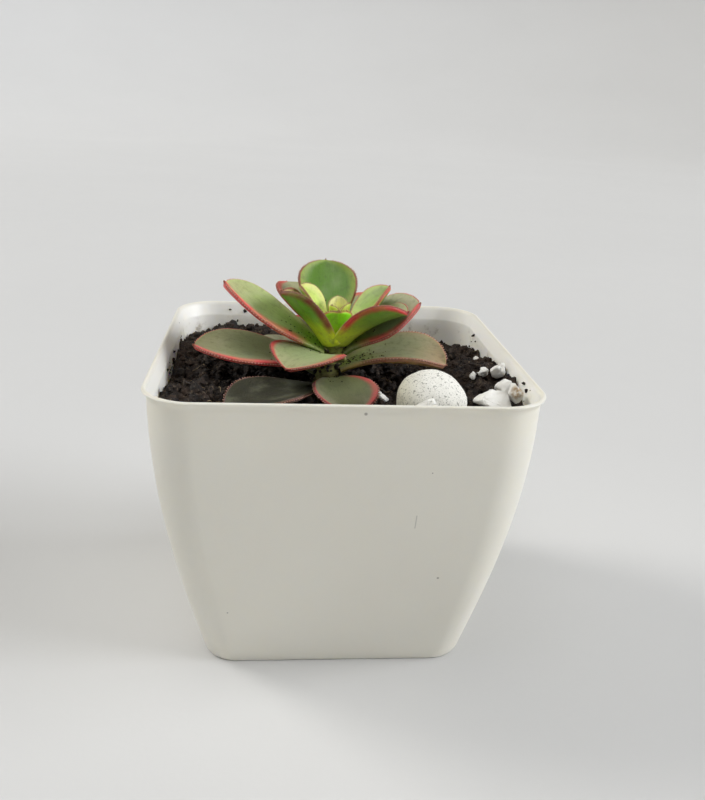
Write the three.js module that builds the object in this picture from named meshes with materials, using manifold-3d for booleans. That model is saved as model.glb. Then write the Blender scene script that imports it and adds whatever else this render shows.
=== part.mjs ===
// Potted kiwi aeonium: a rosette of separate fleshy leaves on a short stem, in dark soil with
// white stones, in a square white plastic pot. Millimetres, +Z up, the front of the pot faces -Y,
// and the origin is under the middle of the pot's foot.
import * as THREE from 'three';
import { ConvexGeometry } from 'three/addons/geometries/ConvexGeometry.js';
import { mergeVertices } from 'three/addons/utils/BufferGeometryUtils.js';
import Module from 'manifold-3d';

const wasm = await Module();
wasm.setup();

// Driving dimensions of the pot: full widths across the rim and the foot, and the wall
const POT_RIM = 105;
const POT_HEIGHT = 86;
const POT_BASE = 76.6;
const RIM_FLARE = 1.0;
const RIM_DROP = 3;
const RIM_CORNER = 13;
const RIM_THICK = 1.5;
const BASE_CORNER = 9.7;
const WALL_THICK = 1.4;
const LIP_BAND = 4;
const LIP_STEP = 0.6;
const FLOOR_TOP = 4;
const FLOOR_ROUND = 2;
const FOOT_RECESS = 1.5;
const FOOT_WIDTH = 3.5;
const FOOT_ROUND = 0.7;
const DRAIN_HOLE = 5;
const DRAIN_SPREAD = 17;

// Driving dimensions of the plant: the stem leans from its foot to its top
const GAP = 0.3;
const SOIL_LEVEL = 74.3;
const STEM_FOOT = { x: -4, y: -5, z: 74 };
const STEM_TOP = { x: 0, y: 0, z: 91.5 };
const STEM_BOTTOM_Z = 62;
const STEM_FOOT_RADIUS = 3.7;
const STEM_TOP_RADIUS = 2.4;
const STEM_KNOB = 0.2;
const LARGE_LEAF = { from: 25, thick: 2.2, steps: 23 };
const SMALL_LEAF = { thick: 1.7, steps: 17 };
const HEART_LEAF = { thick: 1.1, steps: 8 };
const LEAF_EDGE = 0.6;
const TOOTH = 0.5;
const TOOTH_SHARE = 0.025;
const MUCRO = 1.2;
const MUCRO_SHARE = 0.045;
const MUCRO_HALF = 0.3;

const rad = THREE.MathUtils.degToRad;

// A small seeded generator, so that lumps and chips come out the same every time
function seeded(seed) {
  let state = seed;
  return () => {
    state = (state * 1664525 + 1013904223) % 4294967296;
    return state / 4294967296;
  };
}

// Solids

function geometryFrom(points, triangles) {
  const geometry = new THREE.BufferGeometry();
  geometry.setAttribute('position', new THREE.Float32BufferAttribute(points.flat(), 3));
  geometry.setIndex(triangles.flat());
  return geometry;
}

// Rings of equally many points, joined in order, with a fan over the first and the last ring
function loft(rings) {
  const count = rings[0].length;
  const points = rings.flat();
  const triangles = [];
  for (let ring = 0; ring + 1 < rings.length; ring += 1) {
    for (let k = 0; k < count; k += 1) {
      const a = ring * count + k;
      const b = ring * count + ((k + 1) % count);
      triangles.push([a, b, b + count], [a, b + count, a + count]);
    }
  }
  const last = (rings.length - 1) * count;
  for (const [start, turned] of [[0, true], [last, false]]) {
    const ring = points.slice(start, start + count);
    const middle = [0, 1, 2].map((axis) => ring.reduce((sum, p) => sum + p[axis], 0) / count);
    const hub = points.push(middle) - 1;
    for (let k = 0; k < count; k += 1) {
      const a = start + k;
      const b = start + ((k + 1) % count);
      triangles.push(turned ? [b, a, hub] : [a, b, hub]);
    }
  }
  return geometryFrom(points, triangles);
}

function solidOf(geometry) {
  const bare = geometry.clone();
  bare.deleteAttribute('normal');
  bare.deleteAttribute('uv');
  const merged = mergeVertices(bare, 1e-3);
  const vertProperties = new Float32Array(merged.attributes.position.array);
  const triVerts = new Uint32Array(merged.index.array);
  return new wasm.Manifold(new wasm.Mesh({ numProp: 3, vertProperties, triVerts }));
}

function geometryOf(solid) {
  const { vertProperties, triVerts, numProp } = solid.getMesh();
  const points = [];
  for (let k = 0; k < vertProperties.length; k += numProp) {
    points.push([vertProperties[k], vertProperties[k + 1], vertProperties[k + 2]]);
  }
  return geometryFrom(points, [Array.from(triVerts)]);
}

const plant = new THREE.Group();

function add(name, geometry, finish) {
  const mesh = new THREE.Mesh(geometry, new THREE.MeshStandardMaterial(finish));
  mesh.name = name;
  plant.add(mesh);
}

// Pot: a square with round corners at every height, its sides bulging outwards

const CORNER_STEPS = 5;
const SIDE_STEPS = 3;
const WALL_STEPS = 10;
const INSIDE_STEPS = 6;
const RIM_HALF = POT_RIM / 2;
const BASE_HALF = POT_BASE / 2;

// The rim's round top and the smooth band inside it: how far in from the rim's outside, how far
// below its top, and whether the point belongs to its inner side
const RIM_PROFILE = [
  { inset: 0.35, drop: 1.2, inner: false },
  { inset: 0, drop: 0.5, inner: false },
  { inset: 0.3, drop: 0, inner: false },
  { inset: RIM_THICK - 0.3, drop: 0, inner: true },
  { inset: RIM_THICK, drop: 0.4, inner: true },
  { inset: RIM_THICK + 0.2, drop: LIP_BAND, inner: true },
];

function roundedSquare(half, corner, z, sideSteps = SIDE_STEPS) {
  const ring = [];
  const inner = half - corner;
  const centres = [[inner, inner], [-inner, inner], [-inner, -inner], [inner, -inner]];
  centres.forEach(([x, y], quarter) => {
    for (let k = 0; k <= CORNER_STEPS; k += 1) {
      const angle = rad(90 * (quarter + k / CORNER_STEPS));
      ring.push([x + corner * Math.cos(angle), y + corner * Math.sin(angle), z]);
    }
    const [nextX, nextY] = centres[(quarter + 1) % centres.length];
    const turn = rad(90 * (quarter + 1));
    for (let k = 1; k < sideSteps; k += 1) {
      const part = k / sideSteps;
      const px = x + (nextX - x) * part + corner * Math.cos(turn);
      const py = y + (nextY - y) * part + corner * Math.sin(turn);
      ring.push([px, py, z]);
    }
  });
  return ring;
}

function wallHalf(z) {
  const bulge = RIM_HALF - RIM_FLARE - BASE_HALF;
  return BASE_HALF + bulge * Math.sin((Math.PI / 2) * (z / POT_HEIGHT));
}

function wallCorner(z) {
  return BASE_CORNER + (RIM_CORNER - BASE_CORNER) * (z / POT_HEIGHT);
}

function innerHalf(z) {
  return wallHalf(z) - WALL_THICK;
}

function innerCorner(z) {
  return wallCorner(z) - WALL_THICK;
}

function between(low, high, steps) {
  return Array.from({ length: steps + 1 }, (_, k) => low + ((high - low) * k) / steps);
}

function potGeometry() {
  const rings = [];
  const ringAt = (half, z, corner = wallCorner(z)) => rings.push(roundedSquare(half, corner, z));
  // the recessed underside, the foot ring and the outside of the wall
  const footInner = BASE_HALF - FOOT_WIDTH;
  const footCorner = BASE_CORNER - FOOT_WIDTH;
  ringAt(footInner - FOOT_ROUND, FOOT_RECESS, footCorner);
  ringAt(footInner, 0, footCorner);
  ringAt(BASE_HALF - FOOT_ROUND, 0);
  for (const z of between(FOOT_ROUND, POT_HEIGHT - RIM_DROP, WALL_STEPS)) {
    ringAt(wallHalf(z), z);
  }
  for (const { inset, drop, inner } of RIM_PROFILE) {
    const z = POT_HEIGHT - drop;
    ringAt(RIM_HALF - inset, z, inner ? RIM_CORNER - RIM_THICK : wallCorner(z));
  }
  // the inside of the wall, from the small step under the band down to the floor
  for (const z of between(POT_HEIGHT - LIP_BAND - LIP_STEP, FLOOR_TOP + FLOOR_ROUND, INSIDE_STEPS)) {
    ringAt(innerHalf(z), z, innerCorner(z));
  }
  ringAt(innerHalf(FLOOR_TOP) - FLOOR_ROUND, FLOOR_TOP, innerCorner(FLOOR_TOP));
  let solid = solidOf(loft(rings));
  const places = [[0, 0], [1, 1], [-1, 1], [-1, -1], [1, -1]];
  for (const [sx, sy] of places) {
    const hole = new THREE.CylinderGeometry(DRAIN_HOLE / 2, DRAIN_HOLE / 2, FLOOR_TOP * 3, 12);
    hole.rotateX(Math.PI / 2);
    hole.translate(sx * DRAIN_SPREAD, sy * DRAIN_SPREAD, FLOOR_TOP / 2);
    solid = solid.subtract(solidOf(hole));
  }
  return geometryOf(solid);
}

// Stem: it leans a little back and to the right as it rises out of the soil, with faint scars

const STEM_SIDES = 12;
const STEM_STEPS = 8;

function stemPart(z) {
  return (z - STEM_FOOT.z) / (STEM_TOP.z - STEM_FOOT.z);
}

function stemAt(z) {
  const x = STEM_FOOT.x + (STEM_TOP.x - STEM_FOOT.x) * stemPart(z);
  const y = STEM_FOOT.y + (STEM_TOP.y - STEM_FOOT.y) * stemPart(z);
  return new THREE.Vector3(x, y, z);
}

function stemRadius(z) {
  return STEM_FOOT_RADIUS + (STEM_TOP_RADIUS - STEM_FOOT_RADIUS) * Math.max(stemPart(z), 0);
}

// With a clearance it gives the plain hole that the stem stands in
function stemGeometry(clearance = 0) {
  const bottom = STEM_BOTTOM_Z - clearance;
  const rings = between(bottom, STEM_TOP.z, STEM_STEPS).map((z, step) => {
    const middle = stemAt(z);
    const scar = clearance > 0 ? STEM_KNOB : STEM_KNOB * Math.sin(step * 2.4);
    const radius = stemRadius(z) + scar + clearance;
    return Array.from({ length: STEM_SIDES }, (_, k) => {
      const angle = rad((360 * k) / STEM_SIDES);
      return [middle.x + radius * Math.cos(angle), middle.y + radius * Math.sin(angle), z];
    });
  });
  return loft(rings);
}

// Leaves: a midrib that rises and arches from the stem, a spoon outline that is narrow at the
// stem and widest past the middle, a cupped section, a toothed edge and a short point

const WIDEST = 0.64;
const NECK = 0.26;
const NECK_CURVE = 1.5;
const TIP_CURVE = 2.1;
const TIP_BLUNTNESS = 0.72;
const BLADE_SHARE = 0.985;
const TIP_THINNING = 0.75;
const CUP_AT_STEM = 0.6;
const HALF_COLUMNS = 2;
const FIRST_TOOTH_ROW = 3;
const MIDRIB_STEPS = 200;

function outlineAt(u, neck) {
  if (u < WIDEST) {
    return neck + (1 - neck) * Math.sin((Math.PI / 2) * (u / WIDEST)) ** NECK_CURVE;
  }
  const past = (u - WIDEST) / (1 - WIDEST);
  return Math.max(1 - past ** TIP_CURVE, 0) ** TIP_BLUNTNESS;
}

// The leaf's direction at a share u of its length
function heading(leaf, u) {
  const az = rad(leaf.az + (leaf.sweep ?? 0) * u);
  const rise = rad(leaf.rise + (leaf.end - leaf.rise) * u);
  const level = Math.cos(rise);
  return new THREE.Vector3(level * Math.cos(az), level * Math.sin(az), Math.sin(rise));
}

// The leaf's frame at each station: point on the midrib, direction to the side, and up
function midrib(leaf, stations) {
  const point = stemAt(leaf.z);
  const reach = stemRadius(leaf.z) + STEM_KNOB + GAP - (leaf.inset ?? 0);
  const from = rad(leaf.at ?? leaf.az);
  point.x += reach * Math.cos(from);
  point.y += reach * Math.sin(from);
  const roll = rad(leaf.roll ?? 0);
  let done = 0;
  return stations.map((u) => {
    while (done < Math.round(u * MIDRIB_STEPS)) {
      const middle = (done + 0.5) / MIDRIB_STEPS;
      point.addScaledVector(heading(leaf, middle), leaf.length / MIDRIB_STEPS);
      done += 1;
    }
    const az = rad(leaf.az + (leaf.sweep ?? 0) * u);
    const level = new THREE.Vector3(Math.sin(az), -Math.cos(az), 0);
    const ahead = heading(leaf, u);
    const upright = new THREE.Vector3().crossVectors(level, ahead);
    const side = level.clone().multiplyScalar(Math.cos(roll));
    side.addScaledVector(upright, Math.sin(roll));
    const up = upright.clone().multiplyScalar(Math.cos(roll));
    up.addScaledVector(level, -Math.sin(roll));
    return { u, point: point.clone(), ahead, side, up };
  });
}

function leafGeometry(leaf, { thick, steps }) {
  const frames = midrib(leaf, between(0, BLADE_SHARE, steps - 1));
  const tip = frames.at(-1);
  const mucro = Math.min(MUCRO, leaf.length * MUCRO_SHARE);
  const point = tip.point.clone().addScaledVector(tip.ahead, mucro);
  frames.push({ ...tip, point, pointed: true });
  const tooth = Math.min(TOOTH, leaf.width * TOOTH_SHARE);
  const columns = 2 * HALF_COLUMNS;
  const rows = frames.map((frame, row) => {
    const toothed = row % 2 === 1 && row >= FIRST_TOOTH_ROW && !frame.pointed;
    const wide = (leaf.width / 2) * outlineAt(frame.u, leaf.neck ?? NECK);
    const half = frame.pointed ? MUCRO_HALF : wide;
    const cup = rad(leaf.cup) * (CUP_AT_STEM + (1 - CUP_AT_STEM) * frame.u);
    const flesh = frame.pointed ? 0 : (thick - LEAF_EDGE) * (1 - TIP_THINNING * frame.u);
    const top = [];
    const under = [];
    for (let column = 0; column <= columns; column += 1) {
      const v = column / HALF_COLUMNS - 1;
      const edge = column === 0 || column === columns;
      const reach = half + (edge && toothed ? tooth : 0);
      const bend = cup * v;
      const p = frame.point.clone();
      p.addScaledVector(frame.side, (reach * Math.sin(bend)) / cup);
      p.addScaledVector(frame.up, (reach * (1 - Math.cos(bend))) / cup);
      const outward = frame.up.clone().multiplyScalar(Math.cos(bend));
      outward.addScaledVector(frame.side, -Math.sin(bend));
      top.push(p);
      under.push(p.clone().addScaledVector(outward, -(LEAF_EDGE + flesh * (1 - v * v))));
    }
    return { top, under };
  });
  return blade(rows, columns);
}

// Both faces of a blade are split along the same diagonals, and a narrow band closes its edge
function blade(rows, columns) {
  const perRow = columns + 1;
  const points = [];
  for (const { top, under } of rows) {
    points.push(...top.map((p) => p.toArray()), ...under.map((p) => p.toArray()));
  }
  const topAt = (row, column) => row * 2 * perRow + column;
  const underAt = (row, column) => topAt(row, column) + perRow;
  const triangles = [];
  const quad = (a, b, c, d) => triangles.push([a, b, c], [a, c, d]);
  for (let row = 0; row + 1 < rows.length; row += 1) {
    const ahead = row + 1;
    for (let column = 0; column < columns; column += 1) {
      const next = column + 1;
      quad(topAt(row, column), topAt(row, next), topAt(ahead, next), topAt(ahead, column));
      const across = underAt(ahead, next);
      triangles.push([underAt(row, column), underAt(ahead, column), across]);
      triangles.push([underAt(row, column), across, underAt(row, next)]);
    }
    quad(underAt(row, 0), topAt(row, 0), topAt(ahead, 0), underAt(ahead, 0));
    quad(topAt(row, columns), underAt(row, columns), underAt(ahead, columns), topAt(ahead, columns));
  }
  const end = rows.length - 1;
  for (let column = 0; column < columns; column += 1) {
    const next = column + 1;
    quad(topAt(0, next), topAt(0, column), underAt(0, column), underAt(0, next));
    quad(topAt(end, column), topAt(end, next), underAt(end, next), underAt(end, column));
  }
  return geometryFrom(points, triangles);
}

// Every leaf from the lowest to the youngest. az is the way it points, counted from +X towards
// +Y, at the side of the stem that it grows from where that differs, sweep how far it turns
// sideways on its way, z where it leaves the stem, rise and end its slope there and at the tip,
// roll its lean to one side, cup how far its halves bend up, and neck how wide it starts.
const LEAVES = [
  { az: 236, sweep: -22, z: 75.6, length: 37, width: 17, rise: 13, end: -5, roll: 8, cup: 34 },
  { az: 281, sweep: 3, z: 78, length: 26.5, width: 18, rise: 22, end: -31, roll: -2, cup: 20 },
  { az: 56, z: 77.8, length: 30, width: 18, rise: 18, end: 0, cup: 25 },
  { az: 138, sweep: 4, z: 78.6, length: 29, width: 17, rise: 15, end: -2, cup: 27 },
  { az: 4, sweep: -24, z: 80.5, length: 32.5, width: 23.5, rise: 25, end: -17, roll: -5, cup: 42 },
  { az: 181, sweep: 7, z: 81.5, length: 37, width: 23.5, rise: 10, end: 7, roll: 7, cup: 21 },
  { az: 100, sweep: -2, z: 80.8, length: 30, width: 19, rise: 20, end: 5, cup: 28 },
  { az: 238, sweep: -20, z: 84, length: 20.5, width: 24.5, rise: 31, end: -28, cup: 27,
    at: 255, neck: 0.42 },
  { az: 61, z: 83.8, length: 32, width: 18, rise: 28, end: 18, cup: 30, neck: 0.22 },
  { az: 8, sweep: -22, z: 85.4, length: 26.5, width: 22.5, rise: 40, end: 28, roll: -15, cup: 18,
    neck: 0.2 },
  { az: 176, sweep: 7, z: 86, length: 34.5, width: 22, rise: 29, end: 37, roll: 8, cup: 18 },
  { az: 118, z: 87.4, length: 30, width: 17, rise: 36, end: 12, roll: -6, cup: 30, neck: 0.22 },
  { az: 332, sweep: 6, z: 88.2, length: 22.5, width: 20, rise: 46, end: 16, roll: 10, cup: 50,
    at: 320, neck: 0.45 },
  { az: 104.5, sweep: -14, z: 90.2, length: 25, width: 18.8, rise: 48, end: 43, cup: 36 },
  { az: 199, sweep: -19, z: 88, length: 20.5, width: 18.5, rise: 55, end: 40, roll: -7, cup: 58,
    at: 212, neck: 0.4 },
  { az: 20, sweep: -10, z: 90.4, length: 18.5, width: 15, rise: 46, end: 44, roll: 2, cup: 37 },
  { az: 266, sweep: 5, z: 89.8, length: 10, width: 8.5, rise: 68, end: 56, roll: -4, cup: 50,
    neck: 0.4 },
  { az: 164, sweep: 2, z: 91.5, length: 15, width: 13, rise: 60, end: 48, cup: 40, neck: 0.2 },
];

function numbered(word, k) {
  return `${word}_${String(k + 1).padStart(2, '0')}`;
}

LEAVES.forEach((leaf, k) => {
  const size = leaf.length > LARGE_LEAF.from ? LARGE_LEAF : SMALL_LEAF;
  const finish = { color: 0x7f9060, roughness: 0.5, metalness: 0 };
  add(numbered('leaf', k), leafGeometry(leaf, size), finish);
});

// Heart: the youngest leaves, still tiny and upright, grown together round the stem's top

const HEART_CORE_RADIUS = 2.2;
const HEART_INSET = 1.6;
const HEART = [
  { az: 95, z: 92.0, length: 8.5, width: 6.5, rise: 78, end: 70, cup: 45 },
  { az: 215, z: 92.2, length: 6.5, width: 5.0, rise: 80, end: 74, cup: 50 },
  { az: 335, z: 92.4, length: 7.0, width: 5.5, rise: 80, end: 74, cup: 50 },
  { az: 30, z: 92.6, length: 5.0, width: 3.5, rise: 84, end: 80, cup: 50 },
];

function heartGeometry() {
  const core = new THREE.SphereGeometry(HEART_CORE_RADIUS, 10, 8);
  core.translate(STEM_TOP.x, STEM_TOP.y, STEM_TOP.z + GAP + HEART_CORE_RADIUS);
  let solid = solidOf(core);
  for (const young of HEART) {
    const leaf = { ...young, inset: HEART_INSET, neck: 0.5 };
    solid = solid.add(solidOf(leafGeometry(leaf, HEART_LEAF)));
  }
  return geometryOf(solid);
}

// Stones: one smooth pebble, and broken chips of marble

const PEBBLE = { x: 23.2, y: -34.5, z: 80.2, wide: 9.9, deep: 9.6, tall: 9.1, lump: 0.033 };

function pebbleGeometry(clearance = 0) {
  const ball = new THREE.SphereGeometry(1, 26, 18);
  ball.rotateX(Math.PI / 2);
  const { position } = ball.attributes;
  for (let k = 0; k < position.count; k += 1) {
    const [x, y, z] = [position.getX(k), position.getY(k), position.getZ(k)];
    const broad = Math.sin(3 * x + 1.3) * Math.cos(2 * y);
    const swell = 1 + PEBBLE.lump * (broad + Math.sin(4 * z + x));
    const px = x * (swell * PEBBLE.wide + clearance);
    const py = y * (swell * PEBBLE.deep + clearance);
    const pz = z * (swell * PEBBLE.tall + clearance);
    position.setXYZ(k, px, py, pz);
  }
  ball.translate(PEBBLE.x, PEBBLE.y, PEBBLE.z);
  return ball;
}

// Each chip: where it lies on the soil, its three sizes, its turn about the vertical and its
// lean. One stands deep against the front wall and two lie on others, so these have a height.
const CHIPS = [
  { x: 12.8, y: -16.4, sizes: [3.4, 3.0, 2.8], turn: 20, lean: 10 },
  { x: 11.4, y: -13.4, sizes: [2.2, 2.0, 1.9], turn: 65, lean: 0 },
  { x: 19.4, y: -47.2, z: 82.1, sizes: [5.6, 4.6, 9.6], turn: 5, lean: 4 },
  { x: 35.0, y: -27.5, sizes: [2.0, 2.0, 2.8], turn: 40, lean: 0 },
  { x: 41.4, y: -33.6, sizes: [12.0, 8.0, 6.4], turn: 8, lean: -10 },
  { x: 45.6, y: -26.2, z: 81.6, sizes: [4.8, 5.0, 5.6], turn: 50, lean: 14 },
  { x: 47.1, y: -32.4, z: 82.8, sizes: [3.6, 4.8, 5.2], turn: 0, lean: 6 },
  { x: 41.7, y: -16.3, sizes: [3.2, 3.0, 3.2], turn: 30, lean: 0 },
  { x: 45.7, y: -17.2, sizes: [4.0, 3.6, 5.0], turn: 15, lean: 12 },
  { x: 38.5, y: -17.1, sizes: [2.0, 1.9, 2.2], turn: 0, lean: 0 },
  { x: 46.6, y: 13.4, sizes: [1.8, 1.7, 1.9], turn: 60, lean: 0 },
];
const CHIP_LIFT = 0.22;
const CHIP_CORNERS = 15;

function chipGeometry(chip, seed, clearance = 0) {
  const random = seeded(seed);
  const corners = Array.from({ length: CHIP_CORNERS }, () => {
    const up = 2 * random() - 1;
    const around = 2 * Math.PI * random();
    const flat = Math.sqrt(1 - up * up);
    const direction = [flat * Math.cos(around), flat * Math.sin(around), up];
    return new THREE.Vector3(...direction.map((d, axis) => d * (chip.sizes[axis] / 2 + clearance)));
  });
  const geometry = new ConvexGeometry(corners);
  geometry.rotateX(rad(chip.lean));
  geometry.rotateZ(rad(chip.turn));
  const z = chip.z ?? soilTop(chip.x, chip.y) + CHIP_LIFT * chip.sizes[2];
  geometry.translate(chip.x, chip.y, z);
  return geometry;
}

// Soil: it fills the pot up to a lumpy top, higher along the left wall and in the front right
// corner, with a plain hole for the stem and a dent under each stone

const MOUNDS = [
  { x: -48, y: 14, rise: 4.6, spread: 20 },
  { x: -46, y: -30, rise: 6.0, spread: 17 },
  { x: -28, y: 48, rise: 4.2, spread: 20 },
  { x: 46, y: -14, rise: 8.6, spread: 17 },
  { x: 42, y: -42, rise: 4.0, spread: 13 },
  { x: 50, y: 18, rise: 4.0, spread: 12 },
  { x: 51, y: 3, rise: 2.0, spread: 8 },
  { x: 51, y: -7, rise: 2.2, spread: 7 },
  { x: 52, y: -26, rise: 3.6, spread: 6.5 },
  { x: 51, y: 34, rise: 1.5, spread: 9 },
  { x: 46, y: 46, rise: -1.6, spread: 16 },
  { x: 14, y: -48, rise: 5.0, spread: 13 },
  { x: -8, y: -12, rise: -2.0, spread: 9 },
];
const SOIL_RINGS = 15;
const SOIL_SIDE_STEPS = 10;
const SOIL_WALL_STEPS = 5;
const SOIL_EDGE_Z = 76;

function soilTop(x, y) {
  let z = SOIL_LEVEL;
  for (const mound of MOUNDS) {
    const away = Math.hypot(x - mound.x, y - mound.y) / mound.spread;
    z += mound.rise * Math.exp(-away * away);
  }
  const clods = Math.sin(x * 0.83 + 1.1) * Math.cos(y * 0.71) + 0.7 * Math.sin(x * 0.37 - y * 0.59 + 2);
  const crumbs = Math.sin(x * 1.3 + y * 0.9) * Math.sin(y * 1.1 - x * 0.4);
  return z + 0.42 * clods + 0.3 * crumbs;
}

function soilGeometry() {
  const ringAt = (half, corner, z) => roundedSquare(half - GAP, corner, z, SOIL_SIDE_STEPS);
  const floorHalf = innerHalf(FLOOR_TOP) - FLOOR_ROUND;
  const rings = [ringAt(floorHalf - 1, innerCorner(FLOOR_TOP) - 1, FLOOR_TOP + GAP)];
  for (const z of between(FLOOR_TOP + FLOOR_ROUND + 1, SOIL_LEVEL - 6, SOIL_WALL_STEPS)) {
    rings.push(ringAt(innerHalf(z), innerCorner(z), z));
  }
  const edge = ringAt(innerHalf(SOIL_EDGE_Z), innerCorner(SOIL_EDGE_Z), SOIL_EDGE_Z);
  for (let ring = 0; ring < SOIL_RINGS; ring += 1) {
    const share = 1 - ring / SOIL_RINGS;
    rings.push(edge.map(([x, y]) => [x * share, y * share, soilTop(x * share, y * share)]));
  }
  let solid = solidOf(loft(rings));
  solid = solid.subtract(solidOf(stemGeometry(GAP)));
  solid = solid.subtract(solidOf(pebbleGeometry(GAP)));
  CHIPS.forEach((chip, k) => {
    solid = solid.subtract(solidOf(chipGeometry(chip, k + 1, GAP)));
  });
  return geometryOf(solid);
}

add('heart', heartGeometry(), { color: 0xc3cf5a, roughness: 0.45, metalness: 0 });
add('stem', stemGeometry(), { color: 0x7d7a4a, roughness: 0.7, metalness: 0 });
add('pebble', pebbleGeometry(), { color: 0xd9d8d0, roughness: 0.8, metalness: 0 });
CHIPS.forEach((chip, k) => {
  add(numbered('chip', k), chipGeometry(chip, k + 1), { color: 0xf0ede4, roughness: 0.7, metalness: 0 });
});
add('soil', soilGeometry(), { color: 0x2e2621, roughness: 0.95, metalness: 0 });
add('pot', potGeometry(), { color: 0xe6e2d6, roughness: 0.35, metalness: 0 });

export default plant;
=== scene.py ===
"""Looks of the potted kiwi aeonium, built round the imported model: metres, +Z up, pot front on -Y."""

import math
import random

import bmesh
import bpy
import numpy as np
from mathutils import Matrix, Vector, noise
from mathutils.bvhtree import BVHTree


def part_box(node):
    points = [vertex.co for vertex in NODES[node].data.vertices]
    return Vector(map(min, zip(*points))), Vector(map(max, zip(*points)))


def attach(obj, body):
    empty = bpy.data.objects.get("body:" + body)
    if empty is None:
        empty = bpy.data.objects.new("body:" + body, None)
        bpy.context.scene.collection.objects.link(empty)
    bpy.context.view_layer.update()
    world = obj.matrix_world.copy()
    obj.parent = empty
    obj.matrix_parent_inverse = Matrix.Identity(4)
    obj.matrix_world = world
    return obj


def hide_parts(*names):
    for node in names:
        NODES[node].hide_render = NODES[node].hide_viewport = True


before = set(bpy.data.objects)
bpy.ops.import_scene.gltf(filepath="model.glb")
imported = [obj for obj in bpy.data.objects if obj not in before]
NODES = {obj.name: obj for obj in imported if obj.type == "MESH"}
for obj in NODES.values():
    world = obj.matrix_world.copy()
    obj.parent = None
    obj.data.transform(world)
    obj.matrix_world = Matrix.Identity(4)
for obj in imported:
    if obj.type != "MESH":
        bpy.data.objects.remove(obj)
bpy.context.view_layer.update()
MM = 0.001

# Pot, in millimetres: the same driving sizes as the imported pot, with finer corners
POT_RIM = 105
POT_HEIGHT = 86
POT_BASE = 76.6
RIM_FLARE = 1.0
RIM_DROP = 3
RIM_CORNER = 13
RIM_THICK = 1.5
BASE_CORNER = 9.7
WALL_THICK = 1.4
LIP_BAND = 4
LIP_STEP = 0.6
FLOOR_TOP = 4
FLOOR_ROUND = 2
FOOT_RECESS = 1.5
FOOT_WIDTH = 3.5
FOOT_ROUND = 0.7

# Stem and leaves, in millimetres
GAP = 0.3
STEM_FOOT = np.array([-4.0, -5.0, 74.0])
STEM_TOP = np.array([0.0, 0.0, 91.5])
STEM_FOOT_RADIUS = 3.7
STEM_TOP_RADIUS = 2.4
STEM_KNOB = 0.2
MUCRO = 0.6
MUCRO_SHARE = 0.045
BLADE_SINK = 0.9

# Camera, fitted to the pot's outline: distance in millimetres, angles in degrees, and the aim's
# distance to the right of the pot's middle and its height
CAMERA = {"distance": 259.35, "elevation": 20.11, "azimuth": -5.72, "roll": 2.82}
CAMERA_AIM = (5.41, 68.3)
FOCAL_PIXELS = 833.3
LONG_SIDE_PIXELS = 800
SENSOR = 36


# Small tools for meshes and materials

def placed(name, data):
    """A new object with the given mesh, light or camera, in the scene."""
    obj = bpy.data.objects.new(name, data)
    bpy.context.scene.collection.objects.link(obj)
    return obj


def dressed(obj, material, smooth=True):
    mesh = obj.data
    mesh.polygons.foreach_set("use_smooth", [smooth] * len(mesh.polygons))
    mesh.materials.clear()
    mesh.materials.append(material)
    return obj


def mesh_object(name, points, faces, material, smooth=True):
    """A mesh from points in millimetres, riding on the body."""
    mesh = bpy.data.meshes.new(name)
    mesh.from_pydata([tuple(p) for p in np.asarray(points) * MM], [], [tuple(f) for f in faces])
    obj = dressed(placed(name, mesh), material, smooth)
    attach(obj, "root")
    return obj


def ring_faces(rings, count, first=0, closed_ends=True):
    """Quads between rings of equally many points, from point first on, and a face over each end."""
    faces = []
    for start in range(first, first + (rings - 1) * count, count):
        for k in range(count):
            a, b = start + k, start + (k + 1) % count
            faces.append((a, b, b + count, a + count))
    if closed_ends:
        last = first + (rings - 1) * count
        faces.append(tuple(reversed(range(first, first + count))))
        faces.append(tuple(range(last, last + count)))
    return faces


def smoothstep(low, high, x):
    t = np.clip((np.asarray(x, float) - low) / (high - low), 0, 1)
    return t * t * (3 - 2 * t)


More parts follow.
